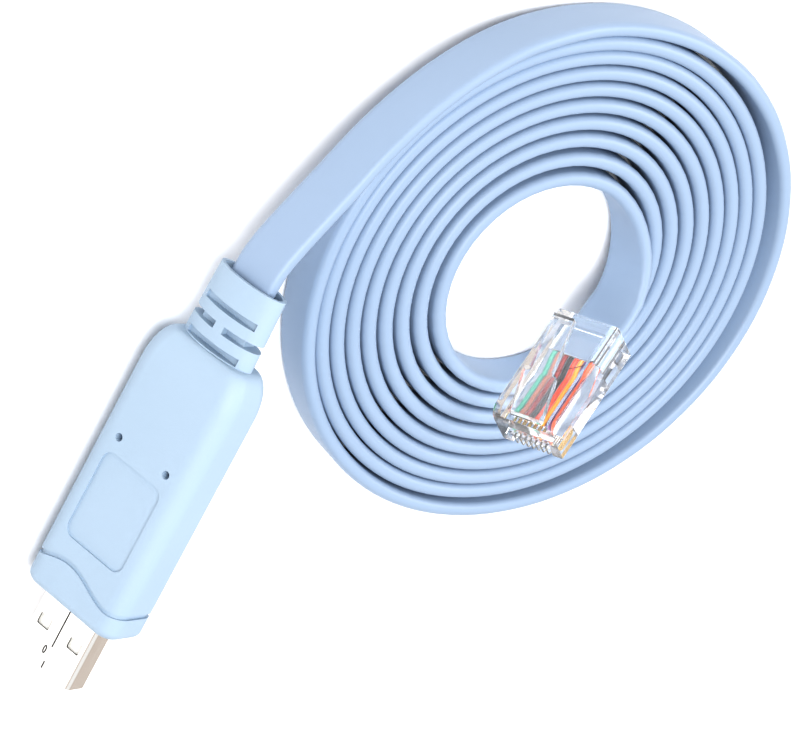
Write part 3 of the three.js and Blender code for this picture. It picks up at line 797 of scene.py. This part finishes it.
def clear_latch():
    """The latch: a foot that springs from the nose, wide shoulders, and a narrow tail."""
    top = PLUG_SIZE[2] / 2
    half = LATCH_WIDTH / 2
    latch = block("latch", (LATCH_ROOT - LATCH_THICK, -half, top - RAIL_HEIGHT - 0.3),
                  (LATCH_ROOT, half, top + LATCH_FOOT_SINK))
    foot = LATCH_ROOT - LATCH_THICK - LATCH_SHOULDER
    tail = LATCH_SHOULDER - LATCH_TIP
    rise = LATCH_SHOULDER_RISE + LATCH_THICK - LATCH_FOOT_SINK
    with editing(latch):
        pick(latch, "faces", lambda face: face.normal.x < -0.99)
        bpy.ops.transform.resize(value=(1, 1, 0.7), center_override=(0, 0, top + LATCH_FOOT_SINK))
        bpy.ops.mesh.extrude_region_move(
            TRANSFORM_OT_translate={"value": (-foot, 0, rise)})
        bpy.ops.transform.resize(
            value=(1, 1, 0.9), center_override=(0, 0, top + LATCH_SHOULDER_RISE + LATCH_THICK))
        bpy.ops.mesh.extrude_region_move(
            TRANSFORM_OT_translate={"value": (-LATCH_STEP, 0, LATCH_STEP_RISE)})
        bpy.ops.transform.resize(
            value=(1, LATCH_TAIL_WIDTH / LATCH_WIDTH, 1), center_override=(0, 0, 0))
        bpy.ops.mesh.extrude_region_move(TRANSFORM_OT_translate={
            "value": (-tail + LATCH_STEP, 0, LATCH_TIP_RISE - LATCH_SHOULDER_RISE - LATCH_STEP_RISE)})
        bpy.ops.transform.resize(
            value=(1, 0.94, 0.9), center_override=(0, 0, top + LATCH_TIP_RISE + LATCH_THICK))
    return latch


def clear_plug():
    length, wide, thick = PLUG_SIZE
    half, top = wide / 2, thick / 2
    plug = block("clear_plug", (0, -half, -top), (length, half, top))
    round_edges(plug, lambda edge: runs_along(edge, 1) and edge_middle(edge).x > length - 1
                and edge_middle(edge).z > 0, RAIL_HEIGHT + NOSE_CHAMFER, 4)
    round_edges(plug, lambda edge: runs_along(edge, 0) or edge_middle(edge).x < 0.01, PLUG_EDGE, 2)
    combine(plug, block("recess", (RAIL_BACK, -half + RAIL_WIDTH, top - RAIL_HEIGHT),
                        (length + 1, half - RAIL_WIDTH, top + 1)))
    bay_thick, bay_wide = CABLE_THICK / 2 + BAY_CLEAR, CABLE_WIDTH / 2 + BAY_CLEAR
    bay = block("jacket_bay", (-1, -bay_wide, -bay_thick), (JACKET_GRIP + BAY_CLEAR, bay_wide, bay_thick))
    round_edges(bay, lambda edge: runs_along(edge, 0), CABLE_CORNER, 3)
    combine(plug, bay)
    combine(plug, wire_room())
    for index in range(8):
        across = wire_across(index)
        combine(plug, block("blade_slot", (length - BLADE_SETBACK - BLADE_LENGTH - BAY_CLEAR,
                                           across - BLADE_SLOT / 2, -top - 1),
                            (length + 1, across + BLADE_SLOT / 2, -WIRE_DROP - WIRE_RADIUS)))
    combine(plug, block("crimp_pocket", (CRIMP_START, -CRIMP_WIDTH / 2, -top - 1),
                        (CRIMP_END, CRIMP_WIDTH / 2, -top + CRIMP_DEPTH)))
    combine(plug, clear_latch(), "UNION")
    soften(plug, PLUG_BREAK)
    settle(plug, plug_placement(), angle=35)
    wear(plug, CLEAR)
    return plug


def wire_across(index):
    return (index - 3.5) * WIRE_PITCH


def wire_room():
    """The space that leads the wires from the jacket down to the blades."""
    half = 4 * WIRE_PITCH + BAY_CLEAR
    room = WIRE_RADIUS + WIRE_CLEAR
    flared = room + WIRE_ROOM_FLARE
    straight = WIRE_END + 2 * WIRE_CLEAR - JACKET_GRIP - 1 - WIRE_BEND
    space = block("wire_room", (JACKET_GRIP, -half, -flared), (JACKET_GRIP + 1, half, flared))
    with editing(space):
        pick(space, "faces", lambda face: face.normal.x > 0.99)
        bpy.ops.transform.translate(value=(WIRE_BEND, 0, -WIRE_DROP))
        bpy.ops.transform.resize(value=(1, 1, room / flared), center_override=(0, 0, -WIRE_DROP))
        bpy.ops.mesh.extrude_region_move(
            TRANSFORM_OT_translate={"value": (straight, 0, 0)})
    return space


plug = clear_plug()
plug.visible_shadow = False  # its wires are lit through it
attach(plug, "root")
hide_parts("rj45_body")


# RJ45 plug: its wires and contact blades

def wire_material(name, colour):
    material, _, shader = new_material(name)
    shader.inputs["Base Color"].default_value = (*colour, 1)
    shader.inputs["Roughness"].default_value = 0.35
    return material


def first_wire():
    """One conductor on the plug's middle line, with its bend down to the contact side."""
    bpy.ops.object.select_all(action="DESELECT")
    start = JACKET_GRIP - 0.4
    bpy.ops.mesh.primitive_cylinder_add(
        vertices=16, radius=WIRE_RADIUS, depth=WIRE_END - start, rotation=(0, math.pi / 2, 0),
        location=((WIRE_END + start) / 2, 0, 0))
    wire = bpy.context.object
    bpy.ops.object.transform_apply(location=True, rotation=True, scale=True)
    bends = 10
    first = JACKET_GRIP + 0.3
    with editing(wire):
        for i in range(bends + 1):
            bpy.ops.mesh.select_all(action="SELECT")
            bpy.ops.mesh.bisect(plane_co=(first + WIRE_BEND * i / bends, 0, 0), plane_no=(1, 0, 0))
        for i in range(1, bends + 1):
            t = i / bends
            at = first + WIRE_BEND * t
            pick(wire, "verts", lambda vert: vert.co.x > at - 0.01
                 and (i == bends or vert.co.x < at + 0.01))
            bpy.ops.transform.translate(value=(0, 0, -WIRE_DROP * t * t * (3 - 2 * t)))
    return wire


def first_blade():
    """One contact blade on the plug's middle line, its outer nose corner rounded."""
    nose = PLUG_SIZE[0] - BLADE_SETBACK
    blade = block("blade", (nose - BLADE_LENGTH, -BLADE_THICK / 2, -PLUG_SIZE[2] / 2 + BLADE_RECESS),
                  (nose, BLADE_THICK / 2, -WIRE_DROP - WIRE_RADIUS - BLADE_TO_WIRE))
    round_edges(blade, lambda edge: runs_along(edge, 1) and edge_middle(edge).z < -3, BLADE_CORNER, 4)
    soften(blade, FINE_BREAK)
    return blade


def copy_across(model, name, index, material, node):
    """A copy of a wire or blade in its own place across the plug."""
    piece = bpy.data.objects.new(name, model.data.copy())
    bpy.context.collection.objects.link(piece)
    settle(piece, plug_placement() @ Matrix.Translation((0, wire_across(index) * MM, 0)))
    wear(piece, material)
    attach(piece, "root")
    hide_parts(node)
    return piece


wire_model = first_wire()
blade_model = first_blade()
for index, (name, colour) in enumerate(WIRE_COLOURS.items()):
    finish = wire_material(name + "_insulation", colour)
    copy_across(wire_model, name + "_conductor", index, finish, name)
    copy_across(
        blade_model, f"contact_blade_{index + 1}", index, GOLD, f"rj45_contact_{index + 1}")
bpy.data.objects.remove(wire_model)
bpy.data.objects.remove(blade_model)


# Floor, lights and surroundings

# Each light's name, azimuth and elevation in degrees, distance and size in metres, and watts
SOFTBOXES = (
    ("overhead_softbox", 80, 64, 0.8, 0.6, 5.7),
    ("side_softbox", -58, 38, 0.7, 0.35, 2.0),
)
HORIZON = (0.76, 0.68, 0.62)
ZENITH = (1, 1, 1)


def area_light(name, azimuth, elevation, distance, size, power):
    """A soft light that looks at the middle of the object."""
    aim = middle("cable_coil")
    azimuth, elevation = math.radians(azimuth), math.radians(elevation)
    way = Vector((math.cos(azimuth) * math.cos(elevation), math.sin(azimuth) * math.cos(elevation),
                  math.sin(elevation)))
    bpy.ops.object.light_add(type="AREA", location=aim + way * distance)
    light = bpy.context.object
    light.name = name
    light.data.shape = "DISK"
    light.data.size = size
    light.data.energy = power
    light.rotation_euler = way.to_track_quat("Z", "Y").to_euler()


def add_stage():
    bpy.ops.object.select_all(action="DESELECT")
    bpy.ops.mesh.primitive_plane_add(size=6, location=(0, 0, 0))
    floor = bpy.context.object
    floor.name = "pale_floor"
    material, _, shader = new_material("pale_floor")
    shader.inputs["Base Color"].default_value = (0.92, 0.92, 0.93, 1)
    shader.inputs["Roughness"].default_value = 0.9
    wear(floor, material)
    for softbox in SOFTBOXES:
        area_light(*softbox)
    world = bpy.data.worlds.new("studio")
    bpy.context.scene.world = world
    world.use_nodes = True
    tree = world.node_tree
    place = tree.nodes.new("ShaderNodeTexCoord")
    parts = tree.nodes.new("ShaderNodeSeparateXYZ")
    tree.links.new(place.outputs["Generated"], parts.inputs["Vector"])
    height = ranged(tree, parts.outputs["Z"], 0, 1)
    sky = mixed(tree, height, HORIZON, ZENITH)
    tree.links.new(sky, tree.nodes["Background"].inputs["Color"])
    tree.nodes["Background"].inputs["Strength"].default_value = 0.98
    bpy.context.scene.view_settings.view_transform = "Standard"
    bpy.context.scene.view_settings.gamma = 0.75


add_stage()
